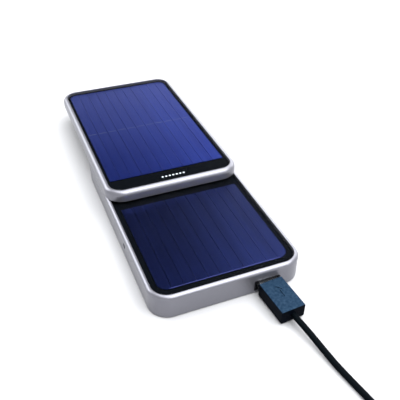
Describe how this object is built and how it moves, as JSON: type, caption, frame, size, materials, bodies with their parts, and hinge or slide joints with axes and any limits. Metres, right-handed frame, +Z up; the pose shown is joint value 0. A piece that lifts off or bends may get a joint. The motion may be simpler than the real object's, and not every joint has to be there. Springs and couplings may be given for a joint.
{
  "type": "solar phone charger",
  "caption": "Flat pocket solar charger: a thin upper solar panel slides out over a thicker base with its own panel, and a short plug and cord come from the front.",
  "frame": {"origin": "centre of the open charger's footprint, on the surface it stands on", "axes": "+Z up, +Y from the socket end to the far end along the slide, +X to the right when the sockets face the viewer"},
  "size_m": [0.072, 0.3147, 0.0185],
  "materials": {
    "silver_casing": "polished silver",
    "window": "clear, glossy",
    "cells": "dark blue silicon, faint strips",
    "panel_board": "black",
    "black_plastic": "fine matt",
    "white_plastic": "satin",
    "steel": "zinc plated",
    "plated_steel": "bright nickel",
    "brass": "gold flash",
    "rubber": "matt",
    "battery_foil": "satin pouch foil",
    "circuit_board": "green solder mask",
    "ferrite": "matt dark grey",
    "capacitor_can": "bare can",
    "plug_plastic": "satin slate blue",
    "cord_jacket": "smooth, near black"
  },
  "bodies": {
    "base": {"base_shell": "silver_casing", "bottom_cover": "black_plastic", "rear_deck": "black_plastic", "case_screw_1": "steel", "case_screw_2": "steel", "case_screw_3": "steel", "case_screw_4": "steel", "foot_1": "rubber", "foot_2": "rubber", "foot_3": "rubber", "foot_4": "rubber", "base_window": "window", "base_cells": "cells", "base_cell_board": "panel_board", "battery_cell": "battery_foil", "battery_protection_board": "circuit_board", "main_board": "circuit_board", "boost_inductor": "ferrite", "output_capacitor": "capacitor_can", "boost_converter_chip": "black_plastic", "charge_controller_chip": "black_plastic", "blocking_diode": "black_plastic", "battery_connector": "white_plastic", "output_socket": "plated_steel", "socket_bezel": "black_plastic", "input_jack": "black_plastic", "slide_shoe": "steel", "shoe_screw_1": "steel", "shoe_screw_2": "steel", "shoe_screw_3": "steel", "shoe_screw_4": "steel", "detent_spring": "steel", "contact_spring_left": "brass", "contact_spring_right": "brass", "plug_body": "plug_plastic", "plug_shell": "plated_steel", "charge_cord": "cord_jacket", "cord_coil": "cord_jacket", "cord_tie": "black_plastic", "cord_tail": "cord_jacket", "far_plug_body": "plug_plastic", "far_plug_shell": "plated_steel"},
    "upper_panel": {"upper_shell": "silver_casing", "upper_back_cover": "black_plastic", "upper_window": "window", "upper_cells": "cells", "upper_cell_board": "panel_board", "rail_left": "steel", "rail_right": "steel", "rail_screw_1": "steel", "rail_screw_2": "steel", "rail_screw_3": "steel", "rail_screw_4": "steel", "contact_track_left": "brass", "contact_track_right": "brass", "open_bumper": "rubber", "closed_bumper": "rubber"}
  },
  "joints": [
    {"name": "panel_slide", "type": "slide", "parent": "base", "child": "upper_panel", "axis": [0, 1, 0], "range_m": [-0.0692, 0]}
  ]
}
